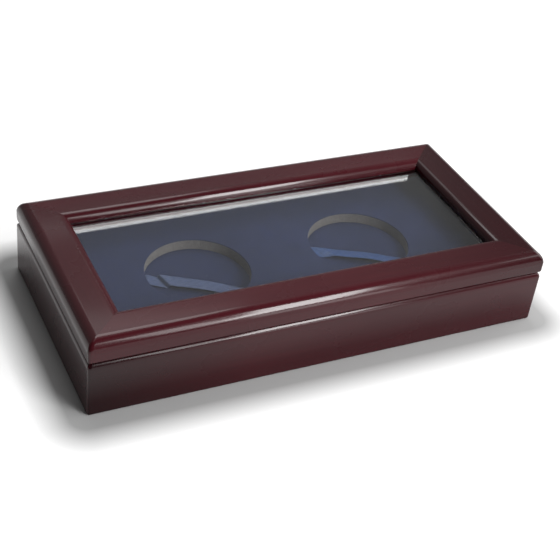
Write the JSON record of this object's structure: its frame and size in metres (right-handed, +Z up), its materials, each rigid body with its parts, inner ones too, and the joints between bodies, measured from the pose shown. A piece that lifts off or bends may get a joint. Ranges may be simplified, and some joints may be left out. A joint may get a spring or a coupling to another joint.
{
  "type": "coin display case",
  "caption": "Low rectangular wooden case with a hinged glazed lid over a velvet insert with round recesses and lift ribbons for encapsulated coins.",
  "frame": {"origin": "middle of the footprint, on the plane that the felt stands on", "axes": "+X along the long side to the right, +Y from the front to the hinged back, +Z up"},
  "size_m": [0.204, 0.1, 0.035],
  "materials": {
    "dark_cherry_lacquer": "dark cherry stain under satin-gloss lacquer",
    "stained_bead": "dark stain, unpolished",
    "panel_board": "plain board",
    "clear_glass": "clear, polished",
    "navy_velvet": "short-pile velvet",
    "grey_foam": "cut foam",
    "satin_ribbon": "blue satin",
    "felt": "black felt",
    "brass": "brushed, clear lacquered",
    "plated_magnet": "nickel plated",
    "steel_brad": "bright wire"
  },
  "bodies": {
    "tray": {"tray_front_wall": "dark_cherry_lacquer", "tray_back_wall": "dark_cherry_lacquer", "tray_left_wall": "dark_cherry_lacquer", "tray_right_wall": "dark_cherry_lacquer", "tray_bottom_panel": "panel_board", "underside_felt": "felt", "lower_foam": "grey_foam", "recess_floor_velvet": "navy_velvet", "insert_foam": "grey_foam", "insert_velvet": "navy_velvet", "ribbon_left": "satin_ribbon", "ribbon_right": "satin_ribbon", "tray_magnets": "plated_magnet", "hinge_left_tray_leaf": "brass", "hinge_right_tray_leaf": "brass", "hinge_left_pin": "brass", "hinge_right_pin": "brass", "tray_hinge_screws": "brass"},
    "lid": {"lid_front_rail": "dark_cherry_lacquer", "lid_back_rail": "dark_cherry_lacquer", "lid_left_rail": "dark_cherry_lacquer", "lid_right_rail": "dark_cherry_lacquer", "glass_pane": "clear_glass", "glazing_bead_front": "stained_bead", "glazing_bead_back": "stained_bead", "glazing_bead_left": "stained_bead", "glazing_bead_right": "stained_bead", "glazing_brads": "steel_brad", "lid_magnets": "plated_magnet", "hinge_left_lid_leaf": "brass", "hinge_right_lid_leaf": "brass", "lid_hinge_screws": "brass"}
  },
  "joints": [
    {"name": "lid_hinge", "type": "hinge", "parent": "tray", "child": "lid", "pos_m": [0, 0.0473, 0.02517], "axis": [-1, 0, 0], "range_deg": [0, 95]}
  ]
}
